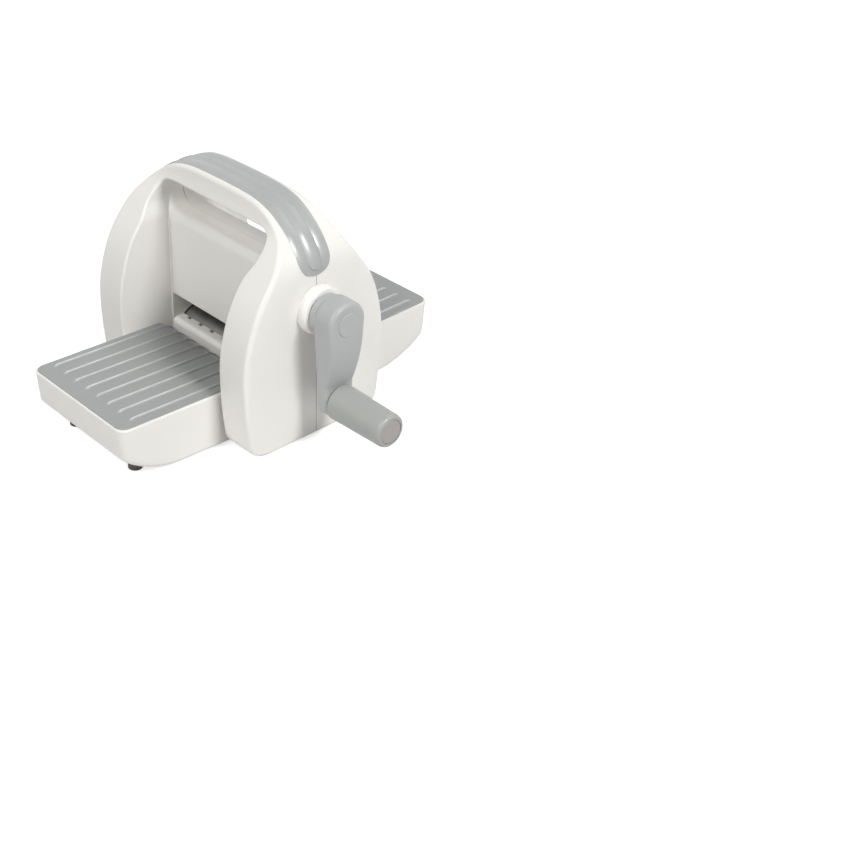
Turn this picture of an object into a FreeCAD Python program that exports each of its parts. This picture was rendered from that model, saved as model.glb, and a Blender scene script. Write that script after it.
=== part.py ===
import FreeCAD, Part
import math
import os
import Sketcher
from FreeCAD import Placement, Rotation, Vector

# Hand-cranked die cutting and embossing machine with two folding trays.
# X runs along the feed, from the front tray (-X) to the rear tray (+X).
# Y runs along the rollers, with the crank on the -Y side. Z is up, z = 0 is the table.

os.makedirs("parts", exist_ok=True)
doc = FreeCAD.newDocument("die_cutter")

# Driving sizes, in millimetres and degrees
SIZES = {
    # housing
    "housing_length": 95.8,
    "housing_width": 132.4,
    "housing_height": 131.8,
    "housing_bottom": 1.0,
    "housing_wall": 2.4,
    "edge_rounding": 2.6,
    "bay_rim_rounding": 1.3,
    "bay_width": 88.2,
    "bay_wall": 2.2,
    "bay_flare": 3.0,
    "panel_spacing": 25.4,
    "deck_height": 99.2,
    "finger_gap": 19.8,
    "deck_corner": 10.0,
    "deck_rounding": 5.5,
    "cheek_width": 1.2,
    "cheek_proud": 0.5,
    "sill_length": 34.4,
    "sill_height": 35.2,
    "sill_rounding": 3.4,
    "sill_end_wall": 1.1,
    "sill_end_height": 32.0,
    "sill_foot_height": 18.0,
    "sill_window": 19.6,
    "sill_notch": 3.0,
    "sill_notch_pitch": 10.3,
    # grip laid into the arch
    "grip_width": 21.0,
    "grip_depth": 2.2,
    "grip_crown": 1.4,
    "grip_crown_width": 8.6,
    "grip_crown_setback": 3.6,
    "grip_side_bulge": 0.8,
    "grip_edge": 0.3,
    "grip_low_end": 96.8,
    # rollers
    "lower_axis_height": 25.5,
    "lower_roller_diameter": 26.0,
    "roller_length": 73.6,
    "roller_neck_diameter": 9.0,
    "roller_shaft_diameter": 6.0,
    "roller_side_play": 0.4,
    "end_ring_width": 1.6,
    "end_ring_thickness": 2.0,
    "end_ring_proud": 0.1,
    "ring_side_room": 0.4,
    "neck_room": 0.5,
    "roller_room": 0.5,
    "slot_margin": 2.2,
    "retaining_ring_width": 2.0,
    "retaining_ring_thickness": 0.8,
    "retaining_ring_play": 0.3,
    # gears
    "gear_module": 1.0,
    "gear_backlash": 0.16,
    "gear_width": 4.5,
    "gear_spacing": 1.0,
    "gear_hub_wall": 2.4,
    "gear_side_play": 0.2,
    # side plates, rods and bushes
    "plate_thickness": 2.5,
    "plate_length": 56.0,
    "plate_foot": 4.6,
    "plate_top": 94.5,
    "plate_screw_inset": 5.0,
    "plate_screw_rise": 6.0,
    "plate_screw_drop": 8.5,
    "rod_diameter": 7.0,
    "rod_room": 0.6,
    "tie_rod_screw_length": 12.0,
    "bush_wall": 2.0,
    "bush_flange": 1.2,
    "bush_flange_step": 1.5,
    "bush_flange_room": 0.2,
    "running_gap": 0.05,
    # crank
    "crank_height": 78.2,
    "crank_shaft_diameter": 8.0,
    "crank_shoulder": 1.5,
    "crank_end_play": 0.3,
    "crank_spacer_wall": 1.6,
    "crank_throw": 47.9,
    "collar_diameter": 27.0,
    "collar_height": 5.8,
    "collar_step": 4.5,
    "collar_rounding": 2.8,
    "collar_gap": 0.8,
    "hub_diameter": 22.0,
    "hub_height": 4.6,
    "arm_thickness": 13.0,
    "arm_end_thickness": 7.4,
    "arm_hub_width": 24.4,
    "arm_knob_width": 19.0,
    "arm_fall_start": 7.2,
    "arm_fall_end": 10.4,
    "arm_rounding": 2.6,
    "arm_back_rounding": 1.2,
    "cap_diameter": 13.4,
    "cap_thickness": 1.6,
    "cap_recess": 1.0,
    "cap_gap": 0.05,
    "shaft_end_inset": 6.0,
    "crank_screw_head_diameter": 6.4,
    "crank_screw_head_height": 2.6,
    "crank_screw_length": 9.0,
    "crank_screw_floor": 2.0,
    # knob
    "knob_diameter": 20.0,
    "knob_end_diameter": 18.6,
    "knob_length": 38.6,
    "knob_gap": 0.3,
    "knob_plug_diameter": 13.8,
    "knob_plug_thickness": 1.9,
    "knob_plug_inset": 0.1,
    "spindle_diameter": 6.0,
    "spindle_head_step": 1.8,
    "spindle_head_height": 1.6,
    "spindle_head_room": 2.6,
    "spindle_head_clearance": 0.4,
    "spindle_seat_floor": 1.4,
    # trays
    "tray_side_room": 2.1,
    "tray_width": "=bay_width - 2 * tray_side_room",
    "tray_reach": 81.6,
    "tray_end_height": 18.4,
    "tray_depth": 32.2,
    "tray_flat_length": 42.0,
    "tray_heel": 2.0,
    "tray_heel_wall": 1.5,
    "tray_wall": 2.4,
    "tray_draft": 2.2,
    "tray_mat_ledge": 2.2,
    "tray_mat_seat": 2.4,
    "tray_side_play": 0.2,
    "tray_corner": 6.5,
    "tray_belly_rounding": 3.0,
    "tray_rim_rounding": 1.0,
    "tray_tilt": 1.5,
    "hinge_height": 24.5,
    "hinge_setback": 27.5,
    "barrel_radius": 8.2,
    "hinge_pin_diameter": 4.0,
    "hinge_collar_wall": 2.4,
    "mat_thickness": 3.0,
    "mat_proud": 0.8,
    "mat_rounding": 0.6,
    "mat_border": 1.2,
    "rib_pitch": 10.0,
    "rib_width": 2.6,
    "rib_height": 0.9,
    "rib_end_setback": 7.6,
    "rib_taper": 3.5,
    # feet
    "tray_foot_diameter": 9.0,
    "tray_foot_setback": 18.0,
    "tray_foot_spacing": 55.0,
    "tray_foot_stem": 5.0,
    "tray_foot_stem_inset": 0.8,
    "tray_foot_pad": 2.0,
    "base_foot_diameter": 11.0,
    "base_foot_recess": 1.0,
    "base_foot_inset": 2.0,
    # screws
    "shell_screw_diameter": 3.0,
    "shell_screw_length": 19.0,
    "shell_screw_seat": 8.0,
    "screw_post_wall": 1.2,
    "low_post_height": 4.8,
    "low_post_inset": 3.2,
    "high_post_step": 5.2,
    "high_post_drop": 15.0,
    "plate_screw_diameter": 3.0,
    "screw_head_diameter": 5.2,
    "screw_head_height": 1.9,
    "screw_clearance": 0.2,
    "screw_tip_cover": 0.6,
}
CRANK_TEETH = 14
BIG_TEETH = 28
SMALL_TEETH = 16
UPPER_TEETH = 24
LOWER_TEETH = 34
RIB_COUNT = 8

sheet = doc.addObject("Spreadsheet::Sheet", "Sizes")
for row, (alias, value) in enumerate(SIZES.items(), start=1):
    sheet.set(f"A{row}", alias)
    sheet.set(f"B{row}", str(value))
    sheet.setAlias(f"B{row}", alias)
doc.recompute()


def size(alias):
    return float(getattr(sheet, alias))


# Places that follow from the sizes
HALF_WIDTH = size("housing_width") / 2
BAY_HALF = size("bay_width") / 2
CAVITY_INSIDE = BAY_HALF + size("bay_wall")
CAVITY_OUTSIDE = HALF_WIDTH - size("housing_wall")
PANEL_HALF = size("panel_spacing") / 2
CHEEK_FACE = PANEL_HALF + size("cheek_proud")
SILL_HALF = size("sill_length") / 2
SILL_END = size("roller_length") / 2 + size("end_ring_width") + size("ring_side_room")
GAP_TOP = size("deck_height") + size("finger_gap")
LOWER_AXIS = size("lower_axis_height")
LOWER_RADIUS = size("lower_roller_diameter") / 2
UPPER_RADIUS = LOWER_RADIUS * UPPER_TEETH / LOWER_TEETH
UPPER_AXIS = LOWER_AXIS + size("gear_module") * (UPPER_TEETH + LOWER_TEETH) / 2
SLOT_TOP = UPPER_AXIS - UPPER_RADIUS + size("slot_margin")
SHAFT_RADIUS = size("roller_shaft_diameter") / 2
CRANK_RADIUS = size("crank_shaft_diameter") / 2
PLATE_SCREW_RADIUS = size("plate_screw_diameter") / 2
HEAD_RADIUS, HEAD_HEIGHT = size("screw_head_diameter") / 2, size("screw_head_height")
CRANK_AXIS = size("crank_height")
PLATE_OUT = CAVITY_INSIDE + size("plate_thickness")
LAYER_A = PLATE_OUT + size("gear_spacing")
LAYER_A_END = LAYER_A + size("gear_width")
LAYER_B = LAYER_A_END + size("gear_spacing")
LAYER_B_END = LAYER_B + size("gear_width")
COLLAR_OUT = HALF_WIDTH + size("collar_height")
HUB_IN = COLLAR_OUT + size("collar_gap")
ARM_IN = HUB_IN + size("hub_height")
ARM_OUT = ARM_IN + size("arm_thickness")
KNOB_IN = ARM_IN + size("arm_end_thickness") + size("knob_gap")
KNOB_AXIS = CRANK_AXIS - size("crank_throw")
TRAY_FOOT_X = size("tray_reach") - size("tray_foot_setback")
MAT_RADIUS = size("barrel_radius") + size("mat_proud")


def idler_axis():
    """Axis of the reduction gear: in mesh with the crank pinion and the upper roller."""
    to_crank = size("gear_module") * (CRANK_TEETH + BIG_TEETH) / 2
    to_upper = size("gear_module") * (SMALL_TEETH + UPPER_TEETH) / 2
    span = CRANK_AXIS - UPPER_AXIS
    up = (to_upper**2 - to_crank**2 + span**2) / (2 * span)
    return math.sqrt(to_upper**2 - up**2), UPPER_AXIS + up


IDLER_X, IDLER_Z = idler_axis()


# Small helpers
def box(x0, x1, y0, y1, z0, z1):
    return Part.makeBox(x1 - x0, y1 - y0, z1 - z0, Vector(x0, y0, z0))


def rod_y(radius, y0, y1, x=0.0, z=0.0):
    return Part.makeCylinder(radius, y1 - y0, Vector(x, y0, z), Vector(0, 1, 0))


def rod_x(radius, x0, x1, y, z):
    return Part.makeCylinder(radius, x1 - x0, Vector(x0, y, z), Vector(1, 0, 0))


def rod_z(radius, z0, z1, x=0.0, y=0.0):
    return Part.makeCylinder(radius, z1 - z0, Vector(x, y, z0))


def mirrored_y(shape):
    return shape.mirror(Vector(), Vector(0, 1, 0))


def polygon_face(points):
    return Part.Face(Part.makePolygon(points + [points[0]]))


def both_ways(face, direction):
    """Prism of a face, equally far to both sides of its plane."""
    moved = face.translated(direction * -1)
    return moved.extrude(direction * 2)


NODES = {}


def keep(name, thing):
    """Puts a finished object, or a shape as an object, in the list of nodes."""
    if isinstance(thing, Part.Shape):
        shape = thing
        thing = doc.addObject("Part::Feature", name)
        thing.Shape = shape
    thing.Label = name
    NODES[name] = thing
    return thing


def turned(name, corners, place=None):
    """Body turned about its own Z axis from a closed outline of (radius, along) expressions."""
    body = doc.addObject("PartDesign::Body", name)
    sketch = body.newObject("Sketcher::SketchObject", name + "_outline")
    plane = [f for f in body.Origin.OriginFeatures if f.Role == "XZ_Plane"][0]
    sketch.AttachmentSupport = [(plane, "")]
    sketch.MapMode = "FlatFace"
    values = [(evaluate(r), evaluate(z)) for r, z in corners]
    count = len(corners)
    for i, (r, z) in enumerate(values):
        r2, z2 = values[(i + 1) % count]
        sketch.addGeometry(Part.LineSegment(Vector(r, z, 0), Vector(r2, z2, 0)), False)
    for i in range(count):
        sketch.addConstraint(Sketcher.Constraint("Coincident", i, 2, (i + 1) % count, 1))
    for i, ((r_text, z_text), (r, z)) in enumerate(zip(corners, values)):
        if r == 0:
            sketch.addConstraint(Sketcher.Constraint("PointOnObject", i, 1, -2))
        else:
            n = sketch.addConstraint(Sketcher.Constraint("DistanceX", -1, 1, i, 1, r))
            sketch.setExpression(f"Constraints[{n}]", expression(r_text))
        n = sketch.addConstraint(Sketcher.Constraint("DistanceY", -1, 1, i, 1, z))
        sketch.setExpression(f"Constraints[{n}]", expression(z_text))
    revolved = body.newObject("PartDesign::Revolution", name + "_turned")
    revolved.Profile = sketch
    revolved.ReferenceAxis = (sketch, ["V_Axis"])
    revolved.Angle = 360
    body.Tip = revolved
    if place is not None:
        body.Placement = place
    doc.recompute()
    return body


def expression(text):
    """Names of sizes in a formula become references to the sheet."""
    words = sorted(SIZES, key=len, reverse=True)
    for word in words:
        text = text.replace(word, f"@{words.index(word)}@")
    for i, word in enumerate(words):
        text = text.replace(f"@{i}@", f"<<Sizes>>.{word}")
    return text


def evaluate(text):
    """Value of such a formula, worked out by the sheet itself."""
    sheet.set("D1", "=" + expression(text).replace("<<Sizes>>.", ""))
    sheet.recompute()
    return float(sheet.get("D1"))


def along_minus_y(x, y, z):
    """Own +Z axis laid along -Y, starting at the point."""
    return Placement(Vector(x, y, z), Rotation(Vector(1, 0, 0), 90))


def along_plus_y(x, y, z):
    return Placement(Vector(x, y, z), Rotation(Vector(1, 0, 0), -90))


# Outline of the housing seen from the crank side, as half length and height
FLANK = [
    (0.473, 0.080), (0.493, 0.210), (0.500, 0.320), (0.496, 0.430), (0.467, 0.535),
    (0.428, 0.618), (0.382, 0.683), (0.3205, 0.745),
]
FRONT_FLANK = FLANK + [
    (0.263, 0.800), (0.2035, 0.8535), (0.156, 0.9067), (0.1365, 0.9636), (0.129, 1.030),
]
REAR_FLANK = FLANK + [
    (0.268, 0.800), (0.2255, 0.8535), (0.198, 0.896), (0.176, 0.937), (0.1545, 0.968),
    (0.1365, 0.993), (0.118, 1.030),
]
SIDE_FOOT = 0.335
# Outline of the housing seen from the front tray, as half width and height
FRONT_OUTLINE = [
    (0.500, 0.560), (0.497, 0.700), (0.486, 0.785), (0.463, 0.833), (0.427, 0.880),
    (0.373, 0.927), (0.314, 0.963), (0.239, 0.987), (0.133, 0.998), (0.0, 1.0),
]


def offset_curve(points, inset):
    """Smooth curve through points (across, up), moved inwards along its normals."""
    curve = Part.BSplineCurve()
    curve.interpolate([Vector(a, b, 0) for a, b in points])
    if inset == 0:
        return [(a, b) for a, b in points]
    moved = []
    for a, b in points:
        direction = curve.tangent(curve.parameter(Vector(a, b, 0)))[0]
        moved.append((a - direction.y * inset, b + direction.x * inset))
    return moved


def side_form(inset=0.0):
    """Prism with the side outline, which is fuller behind the arch than in front of it."""
    length, height = size("housing_length"), size("housing_height")
    floor = size("housing_bottom") + inset
    foot = SIDE_FOOT * length
    halves, tops = [], []
    for sign, flank in ((1, REAR_FLANK), (-1, FRONT_FLANK)):
        points = offset_curve([(a * length, b * height) for a, b in flank], inset)
        curve = Part.BSplineCurve()
        curve.interpolate([Vector(sign * a, 0, b) for a, b in points])
        first = Vector(sign * points[0][0], 0, points[0][1])
        tangent = curve.tangent(curve.FirstParameter)[0]
        corner = Part.BezierCurve()
        reach = (first.z - floor) * 0.55
        corner.setPoles([
            Vector(sign * foot, 0, floor),
            Vector(sign * (foot + 0.6 * (points[0][0] - foot)), 0, floor),
            first - tangent * reach,
            first,
        ])
        halves.extend([corner, curve])
        tops.append(curve.value(curve.LastParameter))
    bottom = Part.LineSegment(Vector(-foot, 0, floor), Vector(foot, 0, floor))
    top = Part.LineSegment(*tops)
    wire = Part.Wire(Part.__sortEdges__([e.toShape() for e in [bottom, top] + halves]))
    return both_ways(Part.Face(wire), Vector(0, HALF_WIDTH + 5, 0))


def front_points(inset=0.0):
    width, height = size("housing_width"), size("housing_height")
    return offset_curve([(a * width, b * height) for a, b in FRONT_OUTLINE], inset)


def shoulder_curve(inset=0.0):
    """Curve over the arch from one side face to the other, in the seam plane."""
    points = front_points(inset)
    run = points + [(-a, b) for a, b in reversed(points[:-1])]
    curve = Part.BSplineCurve()
    up = Vector(0, 0, 1)
    curve.interpolate(
        Points=[Vector(0, a, b) for a, b in run], InitialTangent=up, FinalTangent=up * -1
    )
    return curve


def front_form(inset=0.0):
    """Prism with the front outline."""
    curve = shoulder_curve(inset)
    start, end = curve.value(curve.FirstParameter), curve.value(curve.LastParameter)
    floor = size("housing_bottom") + inset
    low_start, low_end = Vector(0, start.y, floor), Vector(0, end.y, floor)
    edges = [
        curve.toShape(),
        Part.makeLine(start, low_start),
        Part.makeLine(low_start, low_end),
        Part.makeLine(low_end, end),
    ]
    wire = Part.Wire(Part.__sortEdges__(edges))
    return both_ways(Part.Face(wire), Vector(size("housing_length") / 2 + 5, 0, 0))


def bay_form(grow=0.0):
    """Room between the pillars, from below the floor to the underside of the arch."""
    half = BAY_HALF + grow
    wide = half + size("bay_flare")
    top = GAP_TOP + grow
    deck = size("deck_height")
    round_in = size("finger_gap") * 0.45
    flare_low, flare_high = Vector(0, half, deck * 0.958), Vector(0, wide, deck + round_in * 0.9)
    flare = Part.BezierCurve()
    flare.setPoles([
        flare_low,
        flare_low + Vector(0, 0, deck * 0.05),
        flare_high - Vector(0, 0, deck * 0.045),
        flare_high,
    ])
    corner = Part.BezierCurve()
    corner_end = Vector(0, wide - round_in * 1.3, top)
    corner.setPoles([
        flare_high,
        Vector(0, wide, top - round_in * 0.2),
        Vector(0, wide - round_in * 0.4, top),
        corner_end,
    ])
    right = [flare.toShape(), corner.toShape(), Part.makeLine(Vector(0, half, -5), flare_low)]
    left = [mirrored_y(edge) for edge in right]
    across = [
        Part.makeLine(corner_end, Vector(0, -corner_end.y, top)),
        Part.makeLine(Vector(0, half, -5), Vector(0, -half, -5)),
    ]
    wire = Part.Wire(Part.__sortEdges__(right + left + across))
    return both_ways(Part.Face(wire), Vector(size("housing_length"), 0, 0))


def rounded_block(half, y_half, z0, z1, rounding):
    """Block centred on the origin with its two long top edges rounded."""
    block = box(-half, half, -y_half, y_half, z0, z1)
    top_edges = []
    for edge in block.Edges:
        middle = edge.BoundBox.Center
        if abs(middle.z - z1) < 1e-6 and abs(abs(middle.x) - half) < 1e-6:
            top_edges.append(edge)
    return block.makeFillet(rounding, top_edges)


def deck_block(inset=0.0):
    """Upper core: panels in front and behind, deck on top with hollow corners to the pillars."""
    wide = BAY_HALF + size("bay_flare")
    radius = size("deck_corner") + inset
    deck = size("deck_height") - inset
    low = SLOT_TOP
    reach = wide + 6
    start, end = Vector(0, wide, deck + radius), Vector(0, wide - radius, deck)
    middle = Vector(0, wide - radius * (1 - math.sqrt(0.5)), deck + radius * (1 - math.sqrt(0.5)))
    arc = Part.Arc(start, middle, end).toShape()
    right = [
        arc,
        Part.makeLine(start, Vector(0, reach, start.z)),
        Part.makeLine(Vector(0, reach, start.z), Vector(0, reach, low)),
    ]
    left = [mirrored_y(edge) for edge in right]
    across = [
        Part.makeLine(end, Vector(0, -end.y, deck)),
        Part.makeLine(Vector(0, reach, low), Vector(0, -reach, low)),
    ]
    wire = Part.Wire(Part.__sortEdges__(right + left + across))
    return both_ways(Part.Face(wire), Vector(PANEL_HALF - inset, 0, 0))


def grip_band(half_width, out, into):
    """Band over the arch: from `into` below to `out` above the shoulder curve."""
    outer, inner = shoulder_curve(-out), shoulder_curve(into)
    ends = [
        Part.makeLine(c1, c2)
        for c1, c2 in (
            (outer.value(outer.FirstParameter), inner.value(inner.FirstParameter)),
            (outer.value(outer.LastParameter), inner.value(inner.LastParameter)),
        )
    ]
    wire = Part.Wire(Part.__sortEdges__([outer.toShape(), inner.toShape()] + ends))
    return both_ways(Part.Face(wire), Vector(half_width, 0, 0))


def grip_outline(half_width, low):
    """Upright stadium whose round lower end closes the grip on each side face."""
    centre = low + half_width
    round_end = rod_y(half_width, -HALF_WIDTH - 5, HALF_WIDTH + 5, 0, centre)
    above = box(
        -half_width, half_width, -HALF_WIDTH - 5, HALF_WIDTH + 5, centre, size("housing_height") + 9
    )
    return round_end.fuse(above)


def grip_space(extra=0.0):
    """Recess for the grip, or with extra the same recess grown by the wall around it."""
    half = size("grip_width") / 2 + extra
    band = grip_band(half, 3.0, size("grip_depth") + extra)
    return band.common(grip_outline(half, size("grip_low_end") - extra))


def screw_posts():
    """Places of the four screws that join the shells, as (y, z)."""
    low = size("housing_bottom") + size("housing_wall") + size("low_post_height")
    out = CAVITY_OUTSIDE - size("low_post_inset")
    high_y = BAY_HALF + size("bay_flare") + size("bay_wall") + size("high_post_step")
    high_z = GAP_TOP - size("high_post_drop")
    return [(out, low), (-out, low), (high_y, high_z), (-high_y, high_z)]


POST_RADIUS = HEAD_RADIUS + size("screw_clearance") + size("screw_post_wall")
POST_SEAT = size("shell_screw_seat")
POST_TIP = POST_SEAT - size("shell_screw_length")
COLLAR_SPIGOT = size("collar_diameter") / 2 - size("collar_step")


def plate_screw_places():
    near_edge = size("plate_length") / 2 - size("plate_screw_inset")
    low = size("plate_foot") + size("plate_screw_rise")
    high = size("plate_top") - size("plate_screw_drop")
    return [(near_edge, low), (-near_edge, low), (near_edge, high), (-near_edge, high)]


def rod_places():
    inset = size("housing_wall") + size("rod_diameter") / 2
    low = size("housing_bottom") + inset + size("rod_room")
    side = SILL_HALF - inset - size("rod_room")
    high = size("deck_height") - inset - size("deck_rounding") / 2
    return [(side, low), (-side, low), (0.0, high)]


def base_foot_places():
    across = (HALF_WIDTH + BAY_HALF) / 2
    along = (
        SIDE_FOOT * size("housing_length") - size("base_foot_diameter") / 2
        - size("base_foot_inset")
    )
    return [(sx * along, sy * across) for sx in (-1, 1) for sy in (-1, 1)]


def outer_housing():
    """Outside of the housing with its rims rounded, before anything is cut out of it."""
    form = side_form().common(front_form())
    rims = []
    for edge in form.Edges:
        reach = edge.BoundBox
        along_side = reach.YLength < 0.01 and (reach.XLength > 90 or reach.ZLength > 1)
        flat_foot = reach.YLength < 0.01 and reach.ZLength < 0.01 and reach.ZMax < 2
        over_arch = reach.YLength > HALF_WIDTH and reach.ZLength > 10
        if (along_side and reach.ZLength > 1) or flat_foot or over_arch:
            rims.append(edge)
    return form.makeFillet(size("edge_rounding"), rims)


def rounded_deck():
    """Upper core with the front and rear rims of its deck rounded."""
    block = deck_block()
    rims = []
    for edge in block.Edges:
        reach = edge.BoundBox
        on_face = reach.XLength < 0.01
        on_top = reach.ZMin > size("deck_height") - 0.01 and abs(reach.Center.y) < BAY_HALF
        if on_face and on_top:
            rims.append(edge)
    return block.makeFillet(size("deck_rounding"), rims)


def sill_block():
    """Sill over the lower roller, rounded all round its top, on lower ends up to the walls."""
    top = size("sill_height")
    wide = SILL_END + size("sill_end_wall")
    upper = box(-SILL_HALF, SILL_HALF, -wide, wide, size("housing_bottom"), top)
    posts = [e for e in upper.Edges if e.BoundBox.ZLength > 1]
    upper = upper.makeFillet(size("sill_rounding"), posts)
    rims = [e for e in upper.Edges if e.BoundBox.ZMin > top - 1e-6]
    upper = upper.makeFillet(size("sill_rounding") * 0.9, rims)
    bottom, rounding = size("housing_bottom"), size("sill_rounding")
    foot = rounded_block(SILL_HALF, BAY_HALF + 1, bottom, size("sill_foot_height"), rounding)
    ends = rounded_block(CHEEK_FACE, BAY_HALF + 1, bottom, size("sill_end_height"), rounding)
    return upper.fuse([foot, ends])


def cheeks():
    """Narrow upright strips beside the core, a little proud of its panels."""
    half, wide = CHEEK_FACE, size("cheek_width")
    strips = []
    for side in (-1, 1):
        y0, y1 = sorted((side * (BAY_HALF - wide), side * (BAY_HALF + 1)))
        strips.append(box(
            -half, half, y0, y1, size("sill_end_height") - size("sill_rounding"),
            size("deck_height") - size("deck_rounding"),
        ))
    return strips


def open_housing():
    """Outside of the housing: two pillars under an arch, with the core between them."""
    pillars = outer_housing().cut(bay_form())
    rims = []
    for edge in pillars.Edges:
        reach = edge.BoundBox
        round_bay = max(abs(reach.YMin), abs(reach.YMax)) < BAY_HALF + size("bay_flare") + 0.1
        along_rim = min(abs(reach.XMin), abs(reach.XMax)) > PANEL_HALF * 0.8
        under_arch = reach.ZLength < 0.01 and abs(reach.ZMin - GAP_TOP) < 0.01
        curved = type(edge.Curve).__name__ == "BSplineCurve" and reach.ZLength > 1
        if along_rim and round_bay and (curved or (under_arch and reach.YLength > 10)):
            rims.append(edge)
    pillars = pillars.makeFillet(size("bay_rim_rounding"), rims)
    return pillars.fuse([sill_block(), rounded_deck()] + cheeks())


def cavity():
    """Inside of the housing: pillars, arch and core, less the walls round bay and grip."""
    wall = size("housing_wall")
    inside = side_form(wall).common(front_form(wall))
    inside = inside.cut(bay_form(size("bay_wall"))).cut(grip_space(wall))
    reach = CAVITY_INSIDE + 0.5
    floor = size("housing_bottom") + wall
    low = box(
        -SILL_HALF + wall, SILL_HALF - wall, -SILL_END, SILL_END, floor, size("sill_height") - wall
    )
    foot = box(
        -SILL_HALF + wall, SILL_HALF - wall, -reach, reach, floor, size("sill_foot_height") - wall
    )
    ends = box(
        -CHEEK_FACE + wall, CHEEK_FACE - wall, -reach, reach,
        floor, LOWER_AXIS + size("roller_neck_diameter") / 2 + size("neck_room"),
    )
    high = box(
        -PANEL_HALF + wall, PANEL_HALF - wall, -reach, reach,
        SLOT_TOP - 1, size("deck_height") - wall,
    )
    half_window = size("sill_window") / 2
    window = box(
        -half_window, half_window, -SILL_END, SILL_END,
        size("sill_height") - 2 * wall, size("sill_height") + 1,
    )
    round_room = rod_y(
        LOWER_RADIUS + size("end_ring_proud") + size("roller_room"), -SILL_END, SILL_END, 0, LOWER_AXIS
    )
    return [inside, low, foot, ends, high, window, round_room] + flange_pockets()


def flange_pockets():
    """Pockets in the bay walls for the flanges of the lower roller's bushes."""
    room = size("bush_flange_room")
    radius = SHAFT_RADIUS + size("bush_wall") + size("bush_flange_step") + room
    start = CAVITY_INSIDE - size("bush_flange") - room
    pocket = rod_y(radius, start, CAVITY_INSIDE + 0.5, 0, LOWER_AXIS)
    return [pocket, mirrored_y(pocket)]


def sill_notches():
    """Short notches in both rims of the window over the lower roller."""
    notch, pitch = size("sill_notch"), size("sill_notch_pitch")
    edge = size("sill_window") / 2
    top = size("sill_height")
    count = int((size("roller_length") - notch) / pitch / 2)
    pieces = []
    for k in range(-count, count + 1):
        for sign in (-1, 1):
            x0, x1 = sorted((sign * (edge - 0.5), sign * (edge + 1.8)))
            pieces.append(
                box(x0, x1, k * pitch - notch / 2, k * pitch + notch / 2, top - 3.0, top + 1)
            )
    return pieces


def shell_cuts():
    """Holes through the shells for the collar, hinge pins, plate screws and feet."""
    cuts = [rod_y(COLLAR_SPIGOT, -HALF_WIDTH - 1, -CAVITY_OUTSIDE + 1, 0, CRANK_AXIS)]
    pin = size("hinge_pin_diameter") / 2
    for sign in (-1, 1):
        for side in (-1, 1):
            y0, y1 = sorted((side * (BAY_HALF - 1), side * (CAVITY_INSIDE + 1)))
            x = sign * size("hinge_setback")
            cuts.append(rod_y(pin, y0, y1, x, size("hinge_height")))
    tip = BAY_HALF + size("screw_tip_cover")
    for x, z in plate_screw_places():
        for side in (-1, 1):
            y0, y1 = sorted((side * tip, side * (CAVITY_INSIDE + 1)))
            cuts.append(rod_y(PLATE_SCREW_RADIUS, y0, y1, x, z))
    foot = size("base_foot_diameter") / 2
    bottom = size("housing_bottom")
    for x, y in base_foot_places():
        cuts.append(rod_z(foot, bottom - 1, bottom + size("base_foot_recess"), x, y))
    return cuts


def housing_shells():
    housing = open_housing()
    inside, *openings = cavity()
    posts = [
        rod_x(POST_RADIUS, -size("housing_length"), size("housing_length"), y, z)
        for y, z in screw_posts()
    ]
    inside = inside.cut(posts)
    housing = housing.cut([inside] + openings + sill_notches())
    housing = housing.cut(grip_space()).cut(shell_cuts())
    screw = size("shell_screw_diameter") / 2
    clearance = size("screw_clearance")
    tools = []
    for y, z in screw_posts():
        tools.append(rod_x(screw, POST_TIP - 1.0, 0.0, y, z))
        tools.append(rod_x(screw + clearance, 0.0, POST_SEAT, y, z))
        tools.append(rod_x(HEAD_RADIUS + clearance, POST_SEAT, size("housing_length"), y, z))
    housing = housing.cut(tools)
    big = 400.0
    front = housing.common(box(-big, 0, -big, big, -big, big))
    rear = housing.common(box(0, big, -big, big, -big, big))
    return front, rear


# Grip
def swept_over_arch(corners):
    """Solid swept along the arch; corners are (x, out) pairs and arcs through three of them."""
    spine = Part.Wire([shoulder_curve().toShape()])
    start = front_points()[0][1]
    edges = []
    for run in corners:
        points = [Vector(x, HALF_WIDTH + out, start) for x, out in run]
        if len(points) == 3:
            edges.append(Part.Arc(*points).toShape())
        else:
            edges.append(Part.makeLine(*points))
    return spine.makePipeShell([Part.Wire(edges)], True, False)


def grip_shape():
    """Soft grip: a raised middle bulge with a lower bulge on each side of it."""
    half, low, crown = size("grip_width") / 2, size("grip_low_end"), size("grip_crown_width") / 2
    edge, side = size("grip_edge"), size("grip_side_bulge")
    under = -size("grip_depth") / 2
    middle = (half + crown) / 2
    body = grip_band(half, edge * 0.5, size("grip_depth"))
    bulges = swept_over_arch([
        [(-half, under), (-half, edge)], [(-half, edge), (-middle, side), (-crown, edge)],
        [(-crown, edge), (crown, edge)], [(crown, edge), (middle, side), (half, edge)],
        [(half, edge), (half, under)], [(half, under), (-half, under)],
    ])
    body = body.fuse(bulges).common(grip_outline(half, low))
    ridge = swept_over_arch([
        [(-crown, under), (-crown, edge)], [(-crown, edge), (0, size("grip_crown")), (crown, edge)],
        [(crown, edge), (crown, under)], [(crown, under), (-crown, under)],
    ])
    ridge = ridge.common(grip_outline(crown, low + size("grip_crown_setback")))
    return body.fuse(ridge).removeSplitter()


# Trays, drawn with the hinge axis at the origin and the tray reaching towards -X
TRAY_END = -(size("tray_reach") - size("tray_draft"))
TRAY_LOW_END = size("barrel_radius") - size("tray_end_height")
TRAY_BOTTOM = size("barrel_radius") - size("tray_depth")


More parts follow.
